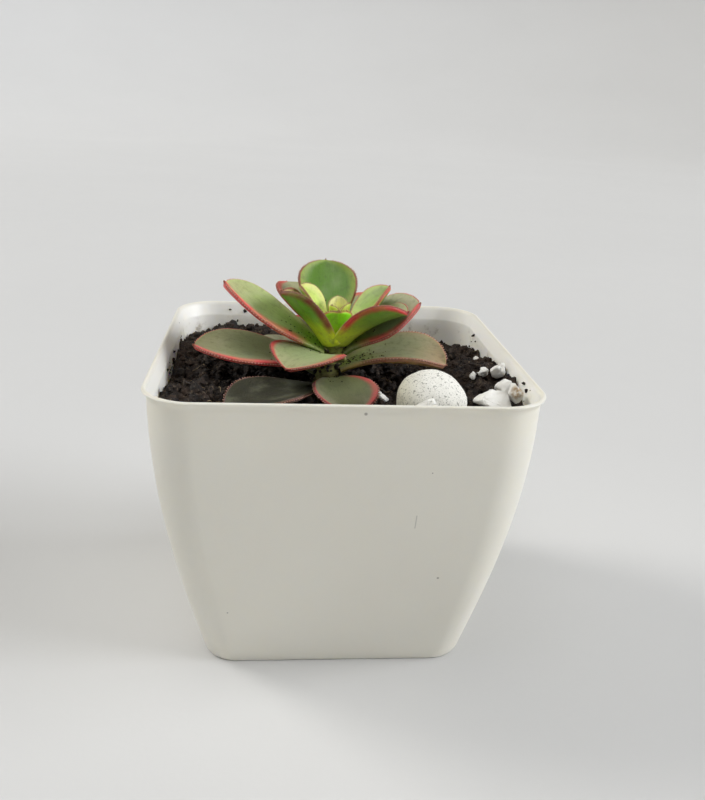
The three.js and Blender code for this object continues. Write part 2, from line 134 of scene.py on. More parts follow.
class Shader:
    """A material's node tree, with one short method for each kind of node that is used here."""

    def __init__(self, name, **sockets):
        self.material = bpy.data.materials.new(name)
        self.material.use_nodes = True
        self.tree = self.material.node_tree
        self.bsdf = self.tree.nodes["Principled BSDF"]
        for socket, value in sockets.items():
            self.bsdf.inputs[socket.replace("_", " ")].default_value = value

    def node(self, kind, inputs=(), **settings):
        made = self.tree.nodes.new(kind)
        for key, value in settings.items():
            setattr(made, key, value)
        for key, value in dict(inputs).items():
            self.put(value, made.inputs[key])
        return made

    def put(self, value, socket):
        if isinstance(value, bpy.types.NodeSocket):
            self.tree.links.new(value, socket)
        else:
            socket.default_value = value

    def into(self, socket, value):
        self.put(value, self.bsdf.inputs[socket])

    def place(self, scale=(1, 1, 1), source=None):
        vector = source or self.node("ShaderNodeTexCoord").outputs["Object"]
        return self.node("ShaderNodeMapping", {"Vector": vector, "Scale": scale}).outputs[0]

    def noise(self, vector, scale, detail=3.0, rough=0.55):
        inputs = {"Vector": vector, "Scale": scale, "Detail": detail, "Roughness": rough}
        return self.node("ShaderNodeTexNoise", inputs).outputs["Fac"]

    def span(self, value, low, high, to_low=0.0, to_high=1.0):
        inputs = {"Value": value, "From Min": low, "From Max": high, "To Min": to_low, "To Max": to_high}
        made = self.node("ShaderNodeMapRange", inputs, interpolation_type="SMOOTHSTEP")
        return made.outputs[0]

    def math(self, operation, a, b=0.0):
        return self.node("ShaderNodeMath", {0: a, 1: b}, operation=operation).outputs[0]

    def mix(self, factor, a, b, blend="MIX"):
        made = self.node("ShaderNodeMix", data_type="RGBA", blend_type=blend)
        self.put(factor, made.inputs["Factor"])
        self.put(a, made.inputs[6])
        self.put(b, made.inputs[7])
        return made.outputs[2]

    def bump(self, height, distance, strength=1.0, normal=None):
        inputs = {"Height": height, "Distance": distance, "Strength": strength}
        if normal is not None:
            inputs["Normal"] = normal
        return self.node("ShaderNodeBump", inputs).outputs[0]


def towards(azimuth, elevation):
    """Unit vector in degrees: azimuth 0 is in front of the pot and 90 on its right."""
    azimuth, elevation = math.radians(azimuth), math.radians(elevation)
    level = math.cos(elevation)
    return Vector((math.sin(azimuth) * level, -math.cos(azimuth) * level, math.sin(elevation)))


def rgb(red, green, blue):
    """A colour as the screen shows it, 0 to 255, turned into the renderer's linear one."""
    values = [v / 255 for v in (red, green, blue)]
    return tuple(v / 12.92 if v <= 0.04045 else ((v + 0.055) / 1.055) ** 2.4 for v in values) + (1.0,)


# Pot

RIM_HALF = POT_RIM / 2
BASE_HALF = POT_BASE / 2
POT_CORNER_STEPS = 20
POT_SIDE_STEPS = 6
POT_WALL_STEPS = 26


def rounded_square(half, corner, z, corner_steps, side_steps):
    ring = []
    inner = half - corner
    centres = [(inner, inner), (-inner, inner), (-inner, -inner), (inner, -inner)]
    for quarter, (x, y) in enumerate(centres):
        for k in range(corner_steps + 1):
            angle = math.radians(90 * (quarter + k / corner_steps))
            ring.append((x + corner * math.cos(angle), y + corner * math.sin(angle), z))
        next_x, next_y = centres[(quarter + 1) % 4]
        turn = math.radians(90 * (quarter + 1))
        for k in range(1, side_steps):
            part = k / side_steps
            px = x + (next_x - x) * part + corner * math.cos(turn)
            py = y + (next_y - y) * part + corner * math.sin(turn)
            ring.append((px, py, z))
    return ring


def wall_half(z):
    bulge = RIM_HALF - RIM_FLARE - BASE_HALF
    return BASE_HALF + bulge * math.sin(math.pi / 2 * z / POT_HEIGHT)


def wall_corner(z):
    return BASE_CORNER + (RIM_CORNER - BASE_CORNER) * z / POT_HEIGHT


def inner_half(z):
    return wall_half(z) - WALL_THICK


def arc(cx, cy, radius, start, end, steps):
    """Points of an arc, as (distance from the pot's middle plane, height)."""
    angles = [math.radians(start + (end - start) * k / steps) for k in range(steps + 1)]
    return [(cx + radius * math.cos(a), cy + radius * math.sin(a)) for a in angles]


def pot_profile():
    """Half width and height from the underside's recess, up the outside and down the inside."""
    foot_inner = BASE_HALF - FOOT_WIDTH
    outside = [(foot_inner - FOOT_ROUND, FOOT_RECESS), (foot_inner, 0.1), (foot_inner + 0.3, 0)]
    outside += arc(BASE_HALF - FOOT_ROUND, FOOT_ROUND, FOOT_ROUND, -90, -20, 5)
    low, high = FOOT_ROUND + 0.4, POT_HEIGHT - RIM_DROP
    for k in range(POT_WALL_STEPS + 1):
        z = low + (high - low) * k / POT_WALL_STEPS
        outside.append((wall_half(z), z))
    round_top = RIM_THICK * 0.35
    for k in range(1, 5):
        z = high + (RIM_DROP - round_top) * k / 4
        outside.append((wall_half(z) + (RIM_HALF - wall_half(z)) * (k / 4) ** 2, z))
    outside += arc(RIM_HALF - round_top, POT_HEIGHT - round_top, round_top, 20, 140, 7)
    lip_low = POT_HEIGHT - LIP_BAND
    high, low = lip_low - LIP_STEP, FLOOR_TOP + FLOOR_ROUND
    inside = [(RIM_HALF - RIM_THICK, POT_HEIGHT - 1.1), (inner_half(high) + 0.32, lip_low + 0.2)]
    inside += [(inner_half(high) + 0.14, lip_low - 0.1), (inner_half(high) + 0.04, high + 0.15)]
    for k in range(POT_WALL_STEPS + 1):
        z = high + (low - high) * k / POT_WALL_STEPS
        inside.append((inner_half(z), z))
    inside.append((inner_half(FLOOR_TOP) - FLOOR_ROUND, FLOOR_TOP))
    return outside, inside


SCRATCH = ((19.1, 54.2), (18.9, 49.6))
DOTS = ((27.1, 32.6, 0.45), (3.8, 83.4, 0.55), (-31.0, 20.0, 0.3), (22.0, 67.0, 0.25))


def pot_material():
    """Creamy moulded plastic: faint mottling, an inside painted paler for light that shines through the
    thin wall, soil dust inside the wall, and a few small marks.
    """
    s = Shader("moulded_plastic", Specular_IOR_Level=0.45, Subsurface_Weight=0.3, Subsurface_Scale=0.003)
    where = s.place()
    parts = s.node("ShaderNodeSeparateXYZ", {0: where})
    x, y, z = parts.outputs
    cream_and_painted_inner_light = s.mix(s.noise(where, 28, 2), rgb(236, 233, 222), rgb(231, 227, 215))
    inside = s.node("ShaderNodeAttribute", attribute_name="inside").outputs["Fac"]
    # Painted light: the inside of the wall is painted paler, for light that shines through the thin
    # plastic.
    cream_and_painted_inner_light = s.mix(inside, cream_and_painted_inner_light, rgb(250, 248, 240))
    above_soil = s.span(z, 76 * MM, 85 * MM, 1.0, 0.0)
    smears = s.span(s.noise(where, 160, 5, 0.7), 0.52, 0.72)
    dust = s.math("MULTIPLY", s.math("MULTIPLY", smears, above_soil), inside)
    colour = s.mix(s.math("MULTIPLY", dust, 0.7), cream_and_painted_inner_light, rgb(118, 104, 84))
    in_front = s.span(y, -30 * MM, -40 * MM)
    marks = None
    for cx, cz, radius in DOTS:
        away = s.math("ADD", s.math("POWER", s.math("SUBTRACT", x, cx * MM), 2.0),
                      s.math("POWER", s.math("SUBTRACT", z, cz * MM), 2.0))
        dot = s.span(s.math("SQRT", away), radius * 0.5 * MM, radius * MM, 0.55, 0.0)
        marks = dot if marks is None else s.math("MAXIMUM", marks, dot)
    (x0, z0), (x1, z1) = SCRATCH
    slope = (x1 - x0) / (z1 - z0)
    line = s.math("ADD", s.math("MULTIPLY", s.math("SUBTRACT", z, z0 * MM), slope), x0 * MM)
    near = s.span(s.math("ABSOLUTE", s.math("SUBTRACT", x, line)), 0.05 * MM, 0.22 * MM, 0.35, 0.0)
    along = s.math("ABSOLUTE", s.math("SUBTRACT", z, (z0 + z1) / 2 * MM))
    half_length = abs(z0 - z1) / 2 * MM
    scratch = s.math("MULTIPLY", near, s.span(along, half_length * 0.8, half_length, 1.0, 0.0))
    marks = s.math("MULTIPLY", s.math("MAXIMUM", marks, scratch), in_front)
    s.into("Base Color", s.mix(marks, colour, rgb(84, 76, 64)))
    s.into("Subsurface Radius", (0.9, 0.8, 0.6))
    s.into("Roughness", s.span(s.noise(where, 60, 4), 0.3, 0.7, 0.36, 0.46))
    fine = s.bump(s.noise(where, 900, 2), 0.00004, 0.25)
    s.into("Normal", s.bump(s.noise(where, 14, 2), 0.0012, 0.12, fine))
    return s.material


def make_pot():
    outside, inside = pot_profile()
    points = []
    for half, z in outside + inside:
        corner = wall_corner(z) - max(wall_half(z) - half, 0)
        points += rounded_square(half, corner, z, POT_CORNER_STEPS, POT_SIDE_STEPS)
    count = 4 * (POT_CORNER_STEPS + POT_SIDE_STEPS)
    faces = ring_faces(len(outside) + len(inside), count)
    pot = mesh_object("pot_shell", points, faces, pot_material())
    inner = np.repeat([0.0, 1.0], [len(outside) * count, len(inside) * count])
    pot.data.attributes.new("inside", "FLOAT", "POINT").data.foreach_set("value", inner)
    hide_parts("pot")


# Leaves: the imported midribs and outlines, with a rounded margin, a row of small teeth, a fine
# point and gentle waves

WIDEST = 0.64
NECK = 0.26
NECK_CURVE = 1.5
TIP_CURVE = 2.1
TIP_BLUNTNESS = 0.72
TIP_THINNING = 0.75
CUP_AT_STEM = 0.6
MIDRIB_STEPS = 200
LEAF_ROWS = 84
LEAF_WAVE = 0.28
TIP_SHARE = 0.02
TIP_ROWS = 4
MUCRO_ROWS = (0.4, 0.75, 1.0)
MARGIN_ROUND = 0.5
MARGIN_SHARE = 0.56
MARGIN_STEPS = ((0.0, 0.0), (0.05, 0.02), (0.16, 0.07), (0.36, 0.16), (0.9, 0.3))
INNER_COLUMNS = 9
TOOTH_SPACING = 0.92
TOOTH_LENGTH = 0.5
TOOTH_SIDES = 6
TOOTH_RINGS = ((-0.2, 0.3), (0.35, 0.24), (0.8, 0.13))

LEAVES = [
    dict(az=236, sweep=-22, z=75.6, length=37, width=17, rise=13, end=-5, roll=8, cup=34, look="deep"),
    dict(az=281, sweep=3, z=78, length=26.5, width=18, rise=22, end=-31, roll=-2, cup=20, look="low"),
    dict(az=56, z=77.8, length=30, width=18, rise=18, end=0, cup=25, look="shade"),
    dict(az=138, sweep=4, z=78.6, length=29, width=17, rise=15, end=-2, cup=27, look="pale"),
    dict(az=4, sweep=-24, z=80.5, length=32.5, width=23.5, rise=25, end=-17, roll=-5, cup=42,
         look="dry"),
    dict(az=181, sweep=7, z=81.5, length=37, width=23.5, rise=10, end=7, roll=7, cup=21, look="spread"),
    dict(az=100, sweep=-2, z=80.8, length=30, width=19, rise=20, end=5, cup=28, look="grey"),
    dict(az=238, sweep=-20, z=84, length=20.5, width=24.5, rise=31, end=-28, cup=27, at=255,
         neck=0.42, look="front"),
    dict(az=61, z=83.8, length=32, width=18, rise=28, end=18, cup=30, neck=0.22, look="grey"),
    dict(az=8, sweep=-22, z=85.4, length=26.5, width=22.5, rise=40, end=28, roll=-15, cup=18,
         neck=0.2, look="right"),
    dict(az=176, sweep=7, z=86, length=34.5, width=22, rise=29, end=37, roll=8, cup=18, look="left",
         neck=0.42),
    dict(az=118, z=87.4, length=30, width=17, rise=36, end=12, roll=-6, cup=30, neck=0.22,
         look="grey"),
    dict(az=332, sweep=6, z=88.2, length=22.5, width=20, rise=46, end=16, roll=10, cup=50, at=320,
         neck=0.62, look="cup_right"),
    dict(az=104.5, sweep=-14, z=90.2, length=25, width=18.8, rise=48, end=43, cup=36, look="back"),
    dict(az=199, sweep=-19, z=88, length=20.5, width=18.5, rise=55, end=40, roll=-7, cup=58, at=212,
         neck=0.62, look="cup"),
    dict(az=20, sweep=-10, z=90.4, length=18.5, width=15, rise=46, end=44, roll=2, cup=37,
         look="lime"),
    dict(az=266, sweep=5, z=89.8, length=10, width=8.5, rise=68, end=56, roll=-4, cup=50, neck=0.6,
         look="bud"),
    dict(az=164, sweep=2, z=91.5, length=15, width=13, rise=60, end=48, cup=40, neck=0.2,
         look="yellow"),
]
LOW_LEAVES = 4
LARGE_LEAF_FROM = 25
LARGE_LEAF_THICK = 2.2
SMALL_LEAF_THICK = 1.7
HEART_LEAF_THICK = 1.1
HEART_INSET = 1.6
HEART_NECK = 0.5
HEART_ROWS = 30
HEART_WAVE = 0.05
FIRST_HEART_SEED = 40
HEART = [
    dict(az=95, z=92.0, length=8.5, width=6.5, rise=78, end=70, cup=45),
    dict(az=215, z=92.2, length=6.5, width=5.0, rise=80, end=74, cup=50),
    dict(az=335, z=92.4, length=7.0, width=5.5, rise=80, end=74, cup=50),
    dict(az=30, z=92.6, length=5.0, width=3.5, rise=84, end=80, cup=50),
]

# Colours of each kind of leaf: the upper face at its neck, middle and towards its tip, the
# border inside the red, the red itself, and the underside at its neck and outwards. Last come the
# red margin's widths in millimetres on the two sides and on the underside.
LOOKS = {
    # Painted shade: dark colours for a leaf that lies in the shade of the leaves above.
    "shade": ((37, 42, 21), (40, 43, 33), (41, 41, 33), (47, 47, 37), (110, 92, 82), (35, 38, 17),
              (35, 38, 24), (0.4, 0.4, 0.4)),
    # Painted deep shade: dark colours for the lowest leaf, which lies in the shade of the leaves above.
    "deep": ((32, 34, 18), (22, 22, 16), (36, 35, 27), (40, 39, 30), (104, 86, 76), (30, 32, 15),
             (30, 32, 20), (0.4, 0.4, 0.4)),
    "low": ((136, 145, 83), (114, 121, 84), (108, 106, 79), (120, 116, 88), (199, 76, 81),
            (119, 127, 60), (110, 113, 71), (2.0, 0.5, 0.8)),
    "pale": ((121, 133, 81), (154, 161, 130), (164, 166, 135), (168, 168, 142), (150, 116, 100),
             (116, 126, 67), (119, 126, 85), (0.5, 0.5, 0.5)),
    "dry": ((179, 195, 115), (177, 182, 139), (181, 156, 122), (178, 166, 126), (193, 134, 112),
            (217, 193, 113), (236, 197, 132), (0.7, 0.7, 1.0)),
    "grey": ((120, 132, 72), (136, 146, 104), (172, 170, 132), (159, 164, 122), (231, 72, 78),
             (120, 130, 61), (132, 114, 77), (2.2, 0.5, 1.3)),
    "front": ((142, 158, 97), (161, 177, 124), (177, 179, 134), (190, 195, 152), (212, 69, 74),
              (126, 131, 65), (134, 121, 76), (3.4, 1.8, 1.8)),
    "right": ((115, 139, 57), (161, 171, 122), (178, 176, 144), (185, 188, 147), (217, 83, 88),
              (105, 130, 44), (103, 110, 61), (0.6, 3.6, 2.0)),
    "left": ((119, 163, 38), (164, 187, 109), (190, 190, 138), (192, 203, 136), (241, 85, 87),
             (104, 135, 38), (127, 98, 64), (5.2, 0.5, 2.4)),
    # Painted light: this look's underside colours are painted bright for light that shines through the
    # leaf.
    "cup": ((196, 214, 96), (169, 191, 91), (169, 169, 102), (206, 186, 126), (129, 34, 37),
            (231, 250, 52), (100, 177, 9), (1.0, 1.0, 2.1)),
    # Painted light: this look's underside colours are painted bright for light that shines through the
    # leaf.
    "cup_right": ((169, 193, 69), (149, 168, 100), (166, 171, 128), (178, 178, 133), (211, 51, 62),
                  (201, 225, 56), (120, 168, 47), (0.1, 1.3, 2.0)),
    "back": ((176, 200, 84), (90, 137, 28), (96, 139, 31), (163, 181, 79), (152, 68, 57),
             (130, 150, 60), (96, 130, 54), (0.5, 0.5, 0.6)),
    "lime": ((237, 252, 124), (161, 193, 90), (140, 162, 96), (198, 218, 122), (228, 81, 76),
             (150, 174, 60), (120, 144, 50), (0.5, 1.5, 0.9)),
    # Painted light: this look's underside colours are painted bright for light that shines through the
    # leaf.
    "bud": ((174, 206, 44), (174, 202, 55), (191, 206, 77), (206, 196, 90), (196, 96, 50),
            (234, 252, 48), (154, 237, 18), (0.4, 0.4, 0.5)),
    "yellow": ((231, 247, 124), (215, 237, 120), (211, 226, 117), (241, 239, 146), (176, 120, 70),
               (191, 206, 91), (157, 184, 73), (0.3, 0.3, 0.4)),
    "heart": ((247, 245, 146), (244, 245, 140), (247, 245, 155), (247, 245, 180), (206, 190, 110),
              (232, 245, 108), (222, 242, 102), (0.2, 0.2, 0.2)),
}
LOOKS["spread"] = LOOKS["grey"][:-1] + ((3.6, 0.6, 1.6),)
LEAF_GLOSS = 0.34
DEEP_SHADE_GLOSS = 0.14
TOOTH_COLOUR = rgb(232, 168, 156)
UV_UNIT = 10


def leaf_material(name, look):
    """Fleshy leaf: colours by place on the blade, red margin, pale teeth, streaks and a satin skin."""
    # The leaf in painted deep shade also gets less gloss, since little light reaches it to reflect.
    gloss = DEEP_SHADE_GLOSS if name == "deep" else LEAF_GLOSS
    s = Shader("leaf_" + name, Subsurface_Weight=0.3, Subsurface_Scale=0.002, Specular_IOR_Level=gloss)
    neck, middle, tip, border, red, under_neck, under_out = (rgb(*colour) for colour in look[:-1])
    low_side, high_side, under_band = (width / UV_UNIT for width in look[-1])
    data = s.node("ShaderNodeAttribute", attribute_name="leaf_data")
    rim, along, under = s.node("ShaderNodeSeparateColor", {0: data.outputs["Color"]}).outputs
    tooth = data.outputs["Alpha"]
    uv = s.node("ShaderNodeUVMap", uv_map="blade").outputs[0]
    streak = s.noise(s.place((0.55, 5.0, 1), uv), 4.0, 4, 0.6)
    patch = s.noise(s.place((0.8, 1.2, 1), uv), 1.6, 3, 0.5)
    grain = s.noise(uv, 42, 2, 0.5)
    ragged = s.math("ADD", rim, s.math("MULTIPLY", s.math("SUBTRACT", s.noise(uv, 7, 3), 0.5), 0.05))
    moved = s.math("ADD", along, s.math("MULTIPLY", s.math("SUBTRACT", patch, 0.5), 0.3))
    top = s.mix(s.span(moved, 0.12, 0.5), neck, middle)
    top = s.mix(s.span(moved, 0.55, 1.0), top, tip)
    top = s.mix(s.span(ragged, 0.08, 0.34, 0.75, 0.0), top, border)
    # For the cup, cup_right and bud looks these underside colours are painted bright, for light shining
    # through the leaf.
    bottom = s.mix(s.span(moved, 0.1, 0.6), under_neck, under_out)
    flesh = s.mix(under, top, bottom)
    blotch = s.noise(uv, 5.5, 4, 0.65)
    flesh = s.mix(s.span(streak, 0.35, 0.7, 0.0, 0.13), flesh, rgb(54, 62, 30))
    flesh = s.mix(s.span(blotch, 0.48, 0.7, 0.0, 0.28), flesh, rgb(46, 52, 28))
    flesh = s.mix(s.span(patch, 0.45, 0.75, 0.0, 0.14), flesh, rgb(198, 200, 168))
    side = s.node("ShaderNodeAttribute", attribute_name="side").outputs["Fac"]
    band = s.span(side, 0.35, 0.65, low_side, high_side)
    band = s.math("ADD", s.math("MULTIPLY", band, s.math("SUBTRACT", 1.0, under)),
                  s.math("MULTIPLY", under, under_band))
    inside_band = s.math("DIVIDE", ragged, band)
    fade = s.span(along, 0.1, 0.32)
    worn = s.span(s.noise(s.place((1, 0.3, 1), uv), 2.2, 3, 0.6), 0.36, 0.6, 0.62, 1.0)
    reach = s.math("MULTIPLY", s.span(inside_band, 0.4, 1.25, 0.95, 0.0), fade)
    flesh = s.mix(s.math("MULTIPLY", reach, worn), flesh, red)
    edge_line = s.math("MULTIPLY", s.span(rim, 0.0, 0.03, 0.5, 0.0), fade)
    flesh = s.mix(edge_line, flesh, rgb(96, 40, 36))
    flesh = s.mix(s.span(along, 0.985, 1.01, 0.0, 0.5), flesh, rgb(96, 44, 40))
    specks = s.span(s.noise(uv, 30, 4, 0.7), 0.66, 0.74, 0.0, 0.7)
    flesh = s.mix(specks, flesh, rgb(58, 46, 32))
    flesh = s.mix(s.math("MULTIPLY", tooth, 0.7), flesh, TOOTH_COLOUR)
    s.into("Base Color", s.mix(s.span(grain, 0.3, 0.7, 0.0, 0.08), flesh, rgb(226, 224, 200)))
    s.into("Subsurface Radius", (0.9, 1.0, 0.35))
    s.into("Roughness", s.span(patch, 0.3, 0.7, 0.36, 0.5))
    fine = s.bump(grain, 0.00006, 0.5)
    s.into("Normal", s.bump(streak, 0.0003, 0.3, fine))
    return s.material


def stem_part(z):
    return (z - STEM_FOOT[2]) / (STEM_TOP[2] - STEM_FOOT[2])


def stem_at(z):
    return STEM_FOOT + (STEM_TOP - STEM_FOOT) * stem_part(z)


def stem_radius(z):
    return STEM_FOOT_RADIUS + (STEM_TOP_RADIUS - STEM_FOOT_RADIUS) * max(stem_part(z), 0)


def outline(u, neck):
    u = np.clip(u, 0, 1)
    swell = neck + (1 - neck) * np.sin(np.pi / 2 * np.minimum(u / WIDEST, 1)) ** NECK_CURVE
    past = np.clip((u - WIDEST) / (1 - WIDEST), 0, 1)
    return np.where(u < WIDEST, swell, np.maximum(1 - past ** TIP_CURVE, 0) ** TIP_BLUNTNESS)


def heading(leaf, u):
    az = np.radians(leaf["az"] + leaf.get("sweep", 0) * u)
    rise = np.radians(leaf["rise"] + (leaf["end"] - leaf["rise"]) * u)
    return np.stack([np.cos(rise) * np.cos(az), np.cos(rise) * np.sin(az), np.sin(rise)], -1)


def leaf_frames(leaf, u):
    """Midrib point, direction, side and up vectors at each share u of the length."""
    start = stem_at(leaf["z"])
    reach = stem_radius(leaf["z"]) + STEM_KNOB + GAP - leaf.get("inset", 0)
    at = math.radians(leaf.get("at", leaf["az"]))
    start = start + reach * np.array([math.cos(at), math.sin(at), 0])
    middles = (np.arange(MIDRIB_STEPS) + 0.5) / MIDRIB_STEPS
    path = np.vstack([np.zeros(3), np.cumsum(heading(leaf, middles) * leaf["length"] / MIDRIB_STEPS, 0)])
    knots = np.linspace(0, 1, MIDRIB_STEPS + 1)
    inside = np.clip(u, 0, 1)
    point = start + np.stack([np.interp(inside, knots, path[:, k]) for k in range(3)], -1)
    ahead = heading(leaf, inside)
    point = point + ahead * ((u - inside) * leaf["length"])[:, None]
    az = np.radians(leaf["az"] + leaf.get("sweep", 0) * inside)
    level = np.stack([np.sin(az), -np.cos(az), np.zeros_like(az)], -1)
    upright = np.cross(level, ahead)
    roll = math.radians(leaf.get("roll", 0))
    side = level * math.cos(roll) + upright * math.sin(roll)
    up = upright * math.cos(roll) - level * math.sin(roll)
    return point, ahead, side, up


def across_steps(half):
    """Offsets from one margin to the other as shares -1 to 1, dense at the rounded margins."""
    near = [1 - min(d / half, f) for d, f in MARGIN_STEPS]
    inner = near[-1]
    middle = [inner * (1 - 2 * k / (INNER_COLUMNS + 1)) for k in range(1, INNER_COLUMNS + 1)]
    return [-v for v in near] + [-v for v in middle] + list(reversed(near))


class Skin:
    """Points and faces of blades, and each point's leaf_data, side and place on the map."""

    def __init__(self):
        self.points, self.faces, self.data, self.sides, self.uvs = [], [], [], [], []

    def add(self, point, data, side, uv):
        self.points.append(point)
        self.data.append(data)
        self.sides.append(side)
        self.uvs.append(uv)


def add_blade(skin, leaf, thick, seed, rows=LEAF_ROWS, wave=LEAF_WAVE):
    """One closed blade with its teeth."""
    first = len(skin.points)
    length = leaf["length"]
    mucro = min(MUCRO, length * MUCRO_SHARE) / length
    share = np.linspace(0, 1, rows - 1 - TIP_ROWS - len(MUCRO_ROWS)) ** 0.9 * (1 - TIP_SHARE)
    tip = 1 - TIP_SHARE * (1 - np.linspace(0, 1, TIP_ROWS + 1)[1:]) ** 2
    u = np.concatenate([[-BLADE_SINK / length], share, tip, 1 + mucro * np.array(MUCRO_ROWS)])
    point, ahead, side, up = leaf_frames(leaf, u)
    neck = leaf.get("neck", NECK)
    half_rows = leaf["width"] / 2 * outline(u, neck)
    spike = 0.34 * (1 - smoothstep(0.97, 1 + mucro, u)) + 0.05
    half_rows = np.maximum(half_rows, np.where(u > 0.9, spike, 0.05))
    cup_rows = np.radians(leaf["cup"]) * (CUP_AT_STEM + (1 - CUP_AT_STEM) * np.clip(u, 0, 1))
    margins = {-1: [], 1: []}
    for row in range(len(u)):
        half, cup, share_u = half_rows[row], cup_rows[row], min(max(u[row], 0), 1)
        steps = across_steps(half)
        edge = thick * MARGIN_SHARE
        flesh = (thick - edge) * (1 - TIP_THINNING * share_u)
        taper = 1 - 0.75 * smoothstep(0.985, 1 + mucro, u[row])
        top, under = [], []
        for v in steps:
            bend = cup * v
            p = point[row] + side[row] * (half * math.sin(bend) / cup)
            p = p + up[row] * (half * (1 - math.cos(bend)) / cup)
            out = up[row] * math.cos(bend) - side[row] * math.sin(bend)
            full = (edge + flesh * (1 - v * v)) * taper
            depth = (1 - abs(v)) * half
            rounding = math.sqrt(max(1 - (1 - min(depth / MARGIN_ROUND, 1)) ** 2, 0))
            rounding = min(rounding, 1) if half > MARGIN_ROUND else math.sqrt(max(1 - v * v, 0))
            sample = Vector((share_u * 2.6 + seed * 7.3, v * 1.3, seed * 3.1))
            ripple = Vector((share_u * 9 + seed * 2.7, v * 0.6, seed * 5.9))
            sway = wave * noise.noise(sample) * smoothstep(0.1, 0.5, share_u)
            sway += wave * 0.45 * noise.noise(ripple) * abs(v) ** 3 * smoothstep(0.2, 0.6, share_u)
            middle = p - out * (full / 2 - sway)
            top.append((middle + out * (full / 2 * rounding), v, depth, 0.0))
            under.append((middle - out * (full / 2 * rounding), v, depth, 1.0))
            if abs(v) == 1 and 0.16 < u[row] < 0.99:
                outward = (side[row] * math.cos(bend) + up[row] * math.sin(bend)) * v
                margins[int(v)].append((middle, ahead[row], outward, out, share_u))
        for place, v, depth, face in top + list(reversed(under[1:-1])):
            data = (depth / UV_UNIT, u[row], face if depth > 0.02 else 0.5, 0.0)
            uv = (share_u * length / UV_UNIT + seed * 3, v * half / UV_UNIT)
            skin.add(place, data, (v + 1) / 2, uv)
    skin.faces += ring_faces(len(u), 2 * (2 * len(MARGIN_STEPS) + INNER_COLUMNS) - 2, first)
    rng = random.Random(seed)
    for sign in (-1, 1):
        add_teeth(skin, margins[sign], sign, rng, min(thick / 2, 1))


def add_teeth(skin, margin, sign, rng, size):
    """Small soft teeth along one margin, leaning towards the tip."""
    if len(margin) < 2:
        return
    places = np.array([m[0] for m in margin])
    gone = np.concatenate([[0], np.cumsum(np.linalg.norm(np.diff(places, axis=0), axis=1))])
    where = TOOTH_SPACING * rng.uniform(0.3, 0.8)
    while where < gone[-1]:
        k = min(int(np.searchsorted(gone, where, side="right")) - 1, len(margin) - 2)
        t = (where - gone[k]) / max(gone[k + 1] - gone[k], 1e-9)
        mixed = [a * (1 - t) + b * t for a, b in zip(margin[k], margin[k + 1])]
        base, ahead, outward, out, share_u = mixed
        grown = 0.55 + 0.45 * smoothstep(0.15, 0.4, share_u)
        length = TOOTH_LENGTH * size * rng.uniform(0.75, 1.2) * grown
        axis = outward + ahead * rng.uniform(0.3, 0.6)
        axis /= np.linalg.norm(axis)
        along = np.cross(out, axis)
        start = len(skin.points)
        side, uv = (sign + 1) / 2, (where / UV_UNIT, sign * 0.5)
        for reach, radius in TOOTH_RINGS:
            for j in range(TOOTH_SIDES):
                turn = 2 * math.pi * j / TOOTH_SIDES
                spread = along * math.cos(turn) * radius + out * math.sin(turn) * radius * 0.8
                point = base + axis * (reach * length) + spread * size
                skin.add(point, (0.0, share_u, 0.5, max(reach, 0)), side, uv)
        skin.add(base + axis * length, (0.0, share_u, 0.5, 1.0), side, uv)
        skin.faces += ring_faces(len(TOOTH_RINGS), TOOTH_SIDES, start, closed_ends=False)
        last = start + (len(TOOTH_RINGS) - 1) * TOOTH_SIDES
        for j in range(TOOTH_SIDES):
            skin.faces.append((last + j, last + (j + 1) % TOOTH_SIDES, last + TOOTH_SIDES))
        skin.faces.append(tuple(reversed(range(start, start + TOOTH_SIDES))))
        where += TOOTH_SPACING * size * rng.uniform(0.8, 1.25)


def finish_blades(name, skin, material):
    """One object from a skin, with its data on points and its map on corners."""
    obj = mesh_object(name, skin.points, skin.faces, material)
    mesh = obj.data
    colours = mesh.attributes.new("leaf_data", "FLOAT_COLOR", "POINT")
    colours.data.foreach_set("color", np.array(skin.data, np.float32).ravel())
    side = mesh.attributes.new("side", "FLOAT", "POINT")
    side.data.foreach_set("value", np.array(skin.sides, np.float32))
    loops = np.zeros(len(mesh.loops), int)
    mesh.loops.foreach_get("vertex_index", loops)
    layer = mesh.uv_layers.new(name="blade")
    layer.data.foreach_set("uv", np.array(skin.uvs, np.float32)[loops].ravel())
    work = bmesh.new()
    work.from_mesh(mesh)
    bmesh.ops.recalc_face_normals(work, faces=work.faces)
    work.to_mesh(mesh)
    work.free()
    return obj


def make_leaves():
    """One piece for each leaf, and one for the heart's tiny leaves together."""
    made = []
    materials = {name: leaf_material(name, look) for name, look in LOOKS.items()}
    for k, leaf in enumerate(LEAVES, 1):
        thick = LARGE_LEAF_THICK if leaf["length"] > LARGE_LEAF_FROM else SMALL_LEAF_THICK
        skin = Skin()
        add_blade(skin, leaf, thick, k)
        obj = finish_blades(f"blade_{k:02d}", skin, materials[leaf["look"]])
        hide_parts(f"leaf_{k:02d}")
        made.append(obj)
    bud = Skin()
    for seed, leaf in enumerate(HEART, FIRST_HEART_SEED):
        leaf = {**leaf, "inset": HEART_INSET, "neck": HEART_NECK}
        add_blade(bud, leaf, HEART_LEAF_THICK, seed, HEART_ROWS, HEART_WAVE)
    heart = finish_blades("heart_leaves", bud, materials["heart"])
    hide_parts("heart")
    return made


# Stem, stones and soil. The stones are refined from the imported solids.

STONE_LEVELS = 2
SAME_PLACE = 0.01


def copy_of(node):
    work = bmesh.new()
    work.from_mesh(NODES[node].data)
    bmesh.ops.remove_doubles(work, verts=work.verts, dist=SAME_PLACE * MM)
    return work


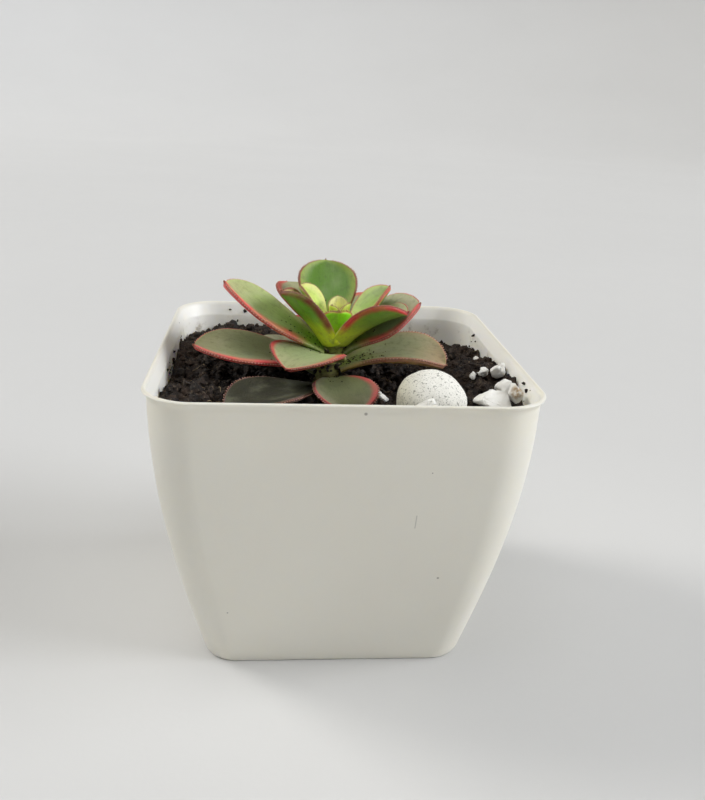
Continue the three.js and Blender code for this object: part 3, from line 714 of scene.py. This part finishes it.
def refined(name, node, work, material, simple=False):
    """An object from a worked-over copy of a node's solid, made finer, which it then replaces."""
    mesh = bpy.data.meshes.new(name)
    work.to_mesh(mesh)
    work.free()
    obj = placed(name, mesh)
    modifier = obj.modifiers.new("finer", "SUBSURF")
    modifier.levels = modifier.render_levels = STONE_LEVELS
    modifier.subdivision_type = "SIMPLE" if simple else "CATMULL_CLARK"
    graph = bpy.context.evaluated_depsgraph_get()
    finer = bpy.data.meshes.new_from_object(obj.evaluated_get(graph))
    obj.modifiers.clear()
    obj.data = finer
    dressed(obj, material)
    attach(obj, "root")
    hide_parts(node)
    return obj


def push_out(mesh, offset):
    """Moves each point along its normal by offset(point in millimetres), in millimetres."""
    normals = [v.normal.copy() for v in mesh.vertices]
    for vertex, normal in zip(mesh.vertices, normals):
        vertex.co += normal * (offset(vertex.co / MM) * MM)
    mesh.update()


def stem_material():
    s = Shader("stem_bark", Specular_IOR_Level=0.3)
    height = s.node("ShaderNodeSeparateXYZ", {0: s.place()}).outputs[2]
    scars = s.noise(s.place((300, 300, 900)), 1.0, 4, 0.6)
    green = s.mix(s.span(height, 76 * MM, 90 * MM), rgb(150, 148, 92), rgb(150, 166, 74))
    s.into("Base Color", s.mix(s.span(scars, 0.4, 0.7), green, rgb(92, 80, 50)))
    s.into("Roughness", s.span(scars, 0.3, 0.7, 0.55, 0.8))
    s.into("Normal", s.bump(scars, 0.0003, 0.8))
    return s.material


STEM_LOW = 63.0
STEM_DOME = 0.4
STEM_ROWS = 60
STEM_SIDES = 28


def make_stem():
    """A finer stem with the ring scars that fallen leaves left."""
    high = STEM_TOP[2] + STEM_DOME
    points = []
    for row in range(STEM_ROWS):
        z = STEM_LOW + (high - STEM_LOW) * row / (STEM_ROWS - 1)
        middle = stem_at(z)
        ridge = 0.12 * math.sin(z * 3.4) + 0.08 * math.sin(z * 7.1 + 1)
        for k in range(STEM_SIDES):
            angle = 2 * math.pi * k / STEM_SIDES
            lump = 0.22 * noise.noise(Vector((math.cos(angle) * 1.3, math.sin(angle) * 1.3, z * 0.6)))
            radius = stem_radius(z) + ridge + lump
            points.append((middle[0] + radius * math.cos(angle), middle[1] + radius * math.sin(angle), z))
    faces = ring_faces(STEM_ROWS, STEM_SIDES)
    stem = mesh_object("stem_bark", points, faces, stem_material())
    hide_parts("stem")
    return stem


def pebble_material():
    s = Shader("speckled_stone", Specular_IOR_Level=0.35)
    where = s.place()
    x = s.node("ShaderNodeSeparateXYZ", {0: where}).outputs[0]
    # Painted shade: the stone's left side, towards lower x, is painted darker and greyer, as the light
    # falls on it from the right.
    painted_left_shade = s.span(x, 13 * MM, 21 * MM, 0.75, 0.0)
    base = s.mix(s.noise(where, 90, 4), rgb(250, 249, 243), rgb(234, 232, 223))
    base = s.mix(painted_left_shade, base, rgb(196, 192, 164))
    specks = s.span(s.noise(where, 1300, 3, 0.6), 0.56, 0.68, 0.0, 0.75)
    grains = s.span(s.noise(where, 2600, 2), 0.54, 0.7, 0.0, 0.6)
    spotted = s.mix(s.math("MAXIMUM", specks, grains), base, rgb(112, 110, 98))
    s.into("Base Color", spotted)
    s.into("Roughness", s.span(s.noise(where, 300, 3), 0.3, 0.7, 0.62, 0.85))
    pits = s.bump(s.noise(where, 1100, 4, 0.7), 0.0002, 0.6)
    s.into("Normal", s.bump(s.noise(where, 260, 3), 0.0005, 0.5, pits))
    return s.material


def make_pebble():
    pebble = refined("pebble_stone", "pebble", copy_of("pebble"), pebble_material())
    push_out(pebble.data, lambda p: 0.16 * noise.noise(p * 0.45) + 0.05 * noise.noise(p * 2.2))
    return pebble


def chip_material(name, spot=None):
    s = Shader(name, Subsurface_Weight=0.2, Subsurface_Scale=0.0012, Specular_IOR_Level=0.4)
    where = s.place()
    base = s.mix(s.noise(where, 240, 4), rgb(250, 249, 246), rgb(236, 234, 226))
    dirt = s.span(s.noise(where, 420, 5, 0.65), 0.6, 0.75, 0.0, 0.5)
    base = s.mix(dirt, base, rgb(176, 168, 146))
    if spot:
        away = s.node("ShaderNodeVectorMath", {0: where, 1: [v * MM for v in spot]}, operation="DISTANCE")
        near = s.span(away.outputs["Value"], 0.9 * MM, 2.6 * MM, 0.9, 0.0)
        patchy = s.math("MULTIPLY", near, s.span(s.noise(where, 500, 4), 0.35, 0.6))
        base = s.mix(patchy, base, rgb(168, 126, 44))
    s.into("Base Color", base)
    s.into("Subsurface Radius", (1.0, 0.95, 0.85))
    s.into("Roughness", s.span(s.noise(where, 700, 3), 0.3, 0.7, 0.5, 0.8))
    s.into("Normal", s.bump(s.noise(where, 900, 5, 0.7), 0.00035, 0.7))
    return s.material


CHIP_COUNT = 11
SPOTTED_CHIP = 7
SPOT_ON_CHIP = (46.8, -34.4, 83.6)
CHIP_SWELL = 1.2
CHIP_EDGE_SHARE = 0.018
FLAT_WITHIN = 4


def make_chips():
    """Broken stones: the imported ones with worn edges, a little larger and rougher."""
    plain = chip_material("broken_marble")
    spotted = chip_material("stained_marble", SPOT_ON_CHIP)
    chips = []
    for k in range(1, CHIP_COUNT + 1):
        node = f"chip_{k:02d}"
        work = copy_of(node)
        size = (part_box(node)[1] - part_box(node)[0]).length
        flat = math.radians(FLAT_WITHIN)
        bmesh.ops.dissolve_limit(work, angle_limit=flat, verts=work.verts, edges=work.edges)
        edge = size * CHIP_EDGE_SHARE
        bmesh.ops.bevel(work, geom=work.edges[:], offset=edge, segments=2, affect="EDGES")
        bmesh.ops.triangulate(work, faces=work.faces)
        material = spotted if k == SPOTTED_CHIP else plain
        middle = sum((v.co for v in work.verts), Vector()) / len(work.verts)
        bmesh.ops.scale(work, vec=(CHIP_SWELL,) * 3, verts=work.verts, space=Matrix.Translation(-middle))
        chip = refined(f"marble_{k:02d}", node, work, material, simple=True)
        push_out(chip.data, lambda p: 0.32 * noise.noise(p * 0.8) + 0.12 * noise.noise(p * 2.6))
        chips.append(chip)
    return chips


def soil_material():
    s = Shader("potting_mix", Specular_IOR_Level=0.35)
    where = s.place()
    clods = s.noise(where, 260, 6, 0.65)
    base = s.mix(s.span(clods, 0.38, 0.68), rgb(24, 18, 16), rgb(66, 53, 44))
    dry = s.span(s.noise(where, 1100, 4, 0.6), 0.56, 0.7, 0.0, 0.7)
    base = s.mix(dry, base, rgb(118, 103, 84))
    glints = s.span(s.noise(where, 2600, 2), 0.68, 0.76, 0.0, 0.8)
    s.into("Base Color", s.mix(glints, base, rgb(150, 140, 122)))
    s.into("Roughness", s.span(clods, 0.3, 0.7, 0.6, 0.95))
    coarse = s.bump(clods, 0.0014, 0.9)
    s.into("Normal", s.bump(s.noise(where, 1500, 4, 0.7), 0.0004, 0.8, coarse))
    return s.material


ABOVE_ALL = 120
SOIL_RINGS = 118
SOIL_CORNER_STEPS = 14
SOIL_SIDE_STEPS = 76
SOIL_EDGE_Z = 76
SOIL_LOW_Z = 60
SOIL_LOW_SHARE = 0.93
SOIL_PLAIN_Z = 74
CLOD_HEIGHT = 2.3
MIDDLE_CLOD = 0.46
CRUMB_HEIGHT = 0.42


def tree_of(obj):
    mesh = obj.data
    return BVHTree.FromPolygons([v.co / MM for v in mesh.vertices], [p.vertices for p in mesh.polygons])


def soil_height(tree, x, y):
    hit = tree.ray_cast(Vector((x, y, ABOVE_ALL)), Vector((0, 0, -1)))[0]
    return hit.z if hit else None


def make_soil(material):
    """The packed soil's level with clods and crumbs raised on it, down to below what shows."""
    packed = tree_of(NODES["soil"])
    half = inner_half(SOIL_EDGE_Z) - GAP / 3
    corner = wall_corner(SOIL_EDGE_Z) - WALL_THICK
    edge = np.array(rounded_square(half, corner, 0, SOIL_CORNER_STEPS, SOIL_SIDE_STEPS))
    level = inner_half(SOIL_EDGE_Z) - 2 * GAP
    rings = [np.column_stack([edge[:, :2] * SOIL_LOW_SHARE, np.full(len(edge), SOIL_LOW_Z)])]
    for ring in range(SOIL_RINGS):
        share = 1 - (ring / SOIL_RINGS) ** 0.97
        points = []
        for x, y, _ in edge * share:
            inside = min(1, level / max(abs(x), abs(y), 1e-6))
            z = soil_height(packed, x * inside, y * inside) or SOIL_PLAIN_Z
            spot = Vector((x, y, 0))
            clods = noise.turbulence(spot * 0.24, 4, False)
            crumbs = noise.noise(spot * 1.1) + 0.5 * noise.noise(spot * 2.6)
            points.append((x, y, z + CLOD_HEIGHT * (clods - MIDDLE_CLOD) + CRUMB_HEIGHT * crumbs))
        rings.append(np.array(points))
    points = np.vstack(rings)
    soil = mesh_object("soil_bed", points, ring_faces(len(rings), len(edge)), material)
    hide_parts("soil")
    return soil


CRUMBS = 2300
LARGEST_CRUMB = 1.9
SMALLEST_CRUMB = 0.26
LUMP_SHAPES = 12
CRUMB_SINK = 0.3
CRUMB_SEED = 7
LUMP_SEED = 17
FIBRE_SEED = 43
WALL_SEED = 23
WALL_LUMP_SEED = 29
GRAIN_SEED = 31
GRAIN_LUMP_SEED = 37


def crumb_shape(rng):
    """Points and faces of one lump about one millimetre in radius."""
    work = bmesh.new()
    bmesh.ops.create_icosphere(work, subdivisions=2, radius=1)
    shift = Vector((rng.uniform(0, 50), rng.uniform(0, 50), rng.uniform(0, 50)))
    for vertex in work.verts:
        vertex.co *= 1 + 0.6 * noise.noise(vertex.co * 1.8 + shift)
    points = np.array([tuple(v.co) for v in work.verts])
    faces = [tuple(v.index for v in f.verts) for f in work.faces]
    work.free()
    return points, faces


def turned(rng):
    """A random rotation with a little flattening."""
    angle = rng.uniform(0, 6.28)
    spin = Matrix.Rotation(angle, 3, (rng.uniform(-1, 1), rng.uniform(-1, 1), rng.uniform(0.1, 1)))
    stretch = Matrix.Diagonal((rng.uniform(0.7, 1.3), rng.uniform(0.7, 1.3), rng.uniform(0.6, 1.0)))
    return np.array(spin @ stretch)


def scatter(name, places, material, seed):
    """One object with a lump at every place, given as (point, radius) in millimetres."""
    rng = random.Random(seed)
    shapes = [crumb_shape(rng) for _ in range(LUMP_SHAPES)]
    points, faces, shift = [], [], 0
    for place, radius in places:
        shape, shape_faces = shapes[rng.randrange(LUMP_SHAPES)]
        points.append(shape @ turned(rng).T * radius + np.array(place))
        faces += [tuple(v + shift for v in face) for face in shape_faces]
        shift += len(shape)
    mesh_object(name, np.vstack(points), faces, material, smooth=False)


def make_crumbs(name, soil, blockers, material, seed):
    """Loose crumbs on the soil, clear of the stones and of the leaves that lie low."""
    rng = random.Random(seed)
    ground = tree_of(soil)
    cover = [tree_of(obj) for obj in blockers]
    limit = inner_half(SOIL_EDGE_Z) - 0.8
    places = []
    while len(places) < CRUMBS:
        x, y = rng.uniform(-limit, limit), rng.uniform(-limit, limit)
        radius = SMALLEST_CRUMB + (LARGEST_CRUMB - SMALLEST_CRUMB) * rng.random() ** 4
        over = max(abs(x), abs(y)) + radius > limit
        z = soil_height(ground, x, y)
        if over or z is None:
            continue
        low = Vector((x, y, z - 3))
        if any(hits_above(tree, low, 4.2 + 2 * radius) for tree in cover):
            continue
        places.append(((x, y, z + CRUMB_SINK * radius), radius))
    scatter(name, places, material, seed + 1)


def hits_above(tree, start, height):
    return tree.ray_cast(start, Vector((0, 0, 1)), height)[0] is not None


def fibre_material():
    s = Shader("plant_fibre", Specular_IOR_Level=0.3)
    where = s.place()
    patches = s.span(s.noise(where, 500, 3), 0.35, 0.65)
    s.into("Base Color", s.mix(patches, rgb(92, 74, 52), rgb(158, 140, 110)))
    s.into("Roughness", s.span(s.noise(where, 900, 2), 0.3, 0.7, 0.6, 0.85))
    return s.material


FIBRES = 90
FIBRE_STEPS = 9
FIBRE_SIDES = 5
FIBRE_LIFT = 0.35
FIBRE_ARCH = 0.7


def make_fibres(soil):
    """Thin bits of root and fibre that lie on the soil, each a bent strand."""
    rng = random.Random(FIBRE_SEED)
    ground = tree_of(soil)
    limit = inner_half(SOIL_EDGE_Z) - 5
    points, faces = [], []
    for _ in range(FIBRES):
        x, y = rng.uniform(-limit, limit), rng.uniform(-limit, limit)
        turn, bend = rng.uniform(0, 2 * math.pi), rng.uniform(-0.25, 0.25)
        radius, step = rng.uniform(0.07, 0.16), rng.uniform(0.5, 1.1)
        faces += ring_faces(FIBRE_STEPS, FIBRE_SIDES, len(points))
        for k in range(FIBRE_STEPS):
            z = (soil_height(ground, x, y) or SOIL_PLAIN_Z) + FIBRE_LIFT
            z += FIBRE_ARCH * math.sin(math.pi * k / (FIBRE_STEPS - 1))
            for j in range(FIBRE_SIDES):
                angle = 2 * math.pi * j / FIBRE_SIDES
                across = radius * math.cos(angle)
                points.append((x - math.sin(turn) * across, y + math.cos(turn) * across,
                               z + radius * math.sin(angle)))
            x, y = x + step * math.cos(turn), y + step * math.sin(turn)
            turn += bend + rng.uniform(-0.2, 0.2)
    mesh_object("soil_fibres", points, faces, fibre_material())


# Clusters of specks on each side of the wall, as (outward direction, number)
WALL_CLUSTERS = (((1, 0), 4), ((-1, 0), 6), ((0, 1), 6), ((0, -1), 2))
CLUSTER_REACH = 38
CLUSTER_SPREAD = 2.2
SPECK_REACH = 40
SPECKS_CLIMB = 6.5
BY_THE_WALL = 48.5


def make_wall_crumbs(soil, material):
    """Specks of soil that cling to the inside of the wall above the soil."""
    rng = random.Random(WALL_SEED)
    ground = tree_of(soil)
    places = []
    clusters = [(side, rng.uniform(-CLUSTER_REACH, CLUSTER_REACH))
                for side, number in WALL_CLUSTERS for _ in range(number)]
    for (nx, ny), middle in clusters:
        for _ in range(rng.randrange(2, 9)):
            along = max(min(rng.gauss(middle, CLUSTER_SPREAD), SPECK_REACH), -SPECK_REACH)
            x, y = nx * BY_THE_WALL + ny * along, ny * BY_THE_WALL + nx * along
            z = soil_height(ground, x, y)
            z = min(z + 0.3 + SPECKS_CLIMB * rng.random() ** 2.5, POT_HEIGHT - 1.5)
            half = inner_half(z) if z < POT_HEIGHT - LIP_BAND - LIP_STEP else RIM_HALF - RIM_THICK - 0.15
            radius = 0.14 + 0.5 * rng.random() ** 2
            out = half - radius * 0.5
            places.append(((nx * out + ny * along, ny * out + nx * along, z), radius))
    scatter("wall_crumbs", places, material, WALL_LUMP_SEED)


# Grains on each leaf, by the leaf's number
LEAF_GRAINS = {5: 70, 8: 8, 10: 14, 11: 30, 13: 24, 15: 20, 6: 14, 2: 10, 14: 4, 17: 8}
STEM_GRAINS = 45


def make_leaf_grains(blades, material):
    """Soil grains that lie on the leaf bases and are caught round the stem."""
    rng = random.Random(GRAIN_SEED)
    places = []
    for number, amount in LEAF_GRAINS.items():
        leaf = LEAVES[number - 1]
        tree = tree_of(blades[number - 1])
        for _ in range(amount):
            u = np.array([rng.uniform(0.02, 0.5) ** 1.2])
            point, _, side, up = leaf_frames(leaf, u)
            half = leaf["width"] / 2 * float(outline(u, leaf.get("neck", NECK))[0])
            spread = rng.uniform(-0.6, 0.6) * half
            start = Vector(point[0] + side[0] * spread + up[0] * 4)
            hit = tree.ray_cast(start, Vector(-up[0]), 8)[0]
            if hit is not None:
                places.append((tuple(hit), rng.uniform(0.12, 0.3)))
    for _ in range(STEM_GRAINS):
        z, turn = rng.uniform(78, 87.5), rng.uniform(0, 2 * math.pi)
        middle, out, radius = stem_at(z), stem_radius(z) + 0.2, 0.25 + 0.55 * rng.random() ** 2
        places.append(((middle[0] + out * math.cos(turn), middle[1] + out * math.sin(turn), z), radius))
    scatter("leaf_grains", places, material, GRAIN_LUMP_SEED)


# Floor, light and camera

STUDIO_RADIUS = 2.4
STUDIO_CURVE = 2.4
STUDIO_SWEEP = 60
STUDIO_SIDES = 96
STUDIO_FLAT_RINGS = 12
STUDIO_CURVE_RINGS = 24
WALL_GLOW = 0.04


def make_studio():
    """A pale floor that curves up on every side, low enough to let the slanting light in."""
    s = Shader("pale_floor", Specular_IOR_Level=0.2)
    where = s.place()
    height = s.node("ShaderNodeSeparateXYZ", {0: where}).outputs[2]
    s.into("Base Color", s.mix(s.noise(where, 3, 3), rgb(213, 213, 213), rgb(208, 208, 208)))
    s.into("Roughness", s.span(s.noise(where, 40, 2), 0.3, 0.7, 0.75, 0.85))
    s.into("Emission Color", (1.0, 1.0, 1.0, 1.0))
    s.into("Emission Strength", s.span(height, -0.02, 0.5, 0.0, WALL_GLOW))
    s.into("Normal", s.bump(s.noise(where, 500, 3), 0.0002, 0.15))
    flat = STUDIO_FLAT_RINGS
    profile = [(STUDIO_RADIUS * (k / flat) ** 2, 0.0) for k in range(1, flat)]
    for k in range(STUDIO_CURVE_RINGS + 1):
        angle = math.radians(STUDIO_SWEEP * k / STUDIO_CURVE_RINGS)
        radius = STUDIO_RADIUS + STUDIO_CURVE * math.sin(angle)
        profile.append((radius, STUDIO_CURVE * (1 - math.cos(angle))))
    turns = [2 * math.pi * k / STUDIO_SIDES for k in range(STUDIO_SIDES)]
    points = [(r * math.cos(turn), r * math.sin(turn), z) for r, z in profile for turn in turns]
    rings = ring_faces(len(profile), STUDIO_SIDES, closed_ends=False)
    faces = [tuple(range(STUDIO_SIDES))] + [tuple(reversed(face)) for face in rings]
    mesh = bpy.data.meshes.new("studio_floor")
    mesh.from_pydata(points, [], faces)
    dressed(placed("studio_floor", mesh), s.material)


# Each light comes from far off, from the given azimuth and elevation. Its width, in degrees, is how
# large it looks from the pot, so a wide one casts soft shadows.
LIGHTS = {
    "right_window": dict(azimuth=75, elevation=24, width=22, power=1.3, colour=(0.98, 1.0, 1.03)),
    "right_back": dict(azimuth=92, elevation=24, width=22, power=1.1, colour=(0.98, 1.0, 1.03)),
    "left_window": dict(azimuth=-116, elevation=38, width=20, power=1.1, colour=(1.0, 0.98, 0.93)),
    "left_ceiling": dict(azimuth=-90, elevation=68, width=50, power=0.85, colour=(1.0, 0.99, 0.96)),
    "ceiling": dict(azimuth=0, elevation=70, width=50, power=0.75, colour=(1.0, 1.0, 0.97)),
}
WORLD_STRENGTH = 0.02


def make_lights():
    """Soft window and ceiling light, and a little light from everywhere."""
    for name, light in LIGHTS.items():
        data = bpy.data.lights.new(name, "SUN")
        data.angle = math.radians(light["width"])
        data.energy = light["power"]
        data.color = light["colour"]
        away = towards(light["azimuth"], light["elevation"])
        placed(name, data).rotation_euler = away.to_track_quat("Z", "Y").to_euler()
    world = bpy.data.worlds.new("studio")
    world.use_nodes = True
    background = world.node_tree.nodes["Background"]
    background.inputs["Color"].default_value = (1.0, 1.0, 1.0, 1.0)
    background.inputs["Strength"].default_value = WORLD_STRENGTH
    bpy.context.scene.world = world


def make_camera():
    """The photo's camera: it looks down at the pot, aims beside its middle and is rolled a little."""
    back = towards(CAMERA["azimuth"], CAMERA["elevation"])
    level_right = Vector((0, 0, 1)).cross(back).normalized()
    level_up = back.cross(level_right)
    roll, azimuth = math.radians(CAMERA["roll"]), math.radians(CAMERA["azimuth"])
    right = level_right * math.cos(roll) + level_up * math.sin(roll)
    up = level_up * math.cos(roll) - level_right * math.sin(roll)
    aside, aim_height = CAMERA_AIM
    aim = Vector((aside * math.cos(azimuth), aside * math.sin(azimuth), aim_height))
    data = bpy.data.cameras.new("camera")
    data.sensor_width = SENSOR
    data.lens = FOCAL_PIXELS / LONG_SIDE_PIXELS * SENSOR
    data.clip_start = 0.01
    camera = placed("camera", data)
    axes = Matrix((right, up, back)).transposed().to_4x4()
    camera.matrix_world = Matrix.Translation((aim + back * CAMERA["distance"]) * MM) @ axes
    bpy.context.scene.camera = camera


bpy.context.scene.view_settings.view_transform = "Standard"
make_camera()
make_studio()
make_lights()
make_pot()
blades = make_leaves()
stem = make_stem()
stones = [make_pebble()] + make_chips()
earth = soil_material()
bed = make_soil(earth)
cover = stones + blades[:LOW_LEAVES] + [stem]
make_crumbs("soil_crumbs", bed, cover, earth, CRUMB_SEED)
make_crumbs("soil_lumps", bed, cover, earth, LUMP_SEED)
make_fibres(bed)
make_wall_crumbs(bed, earth)
make_leaf_grains(blades, earth)
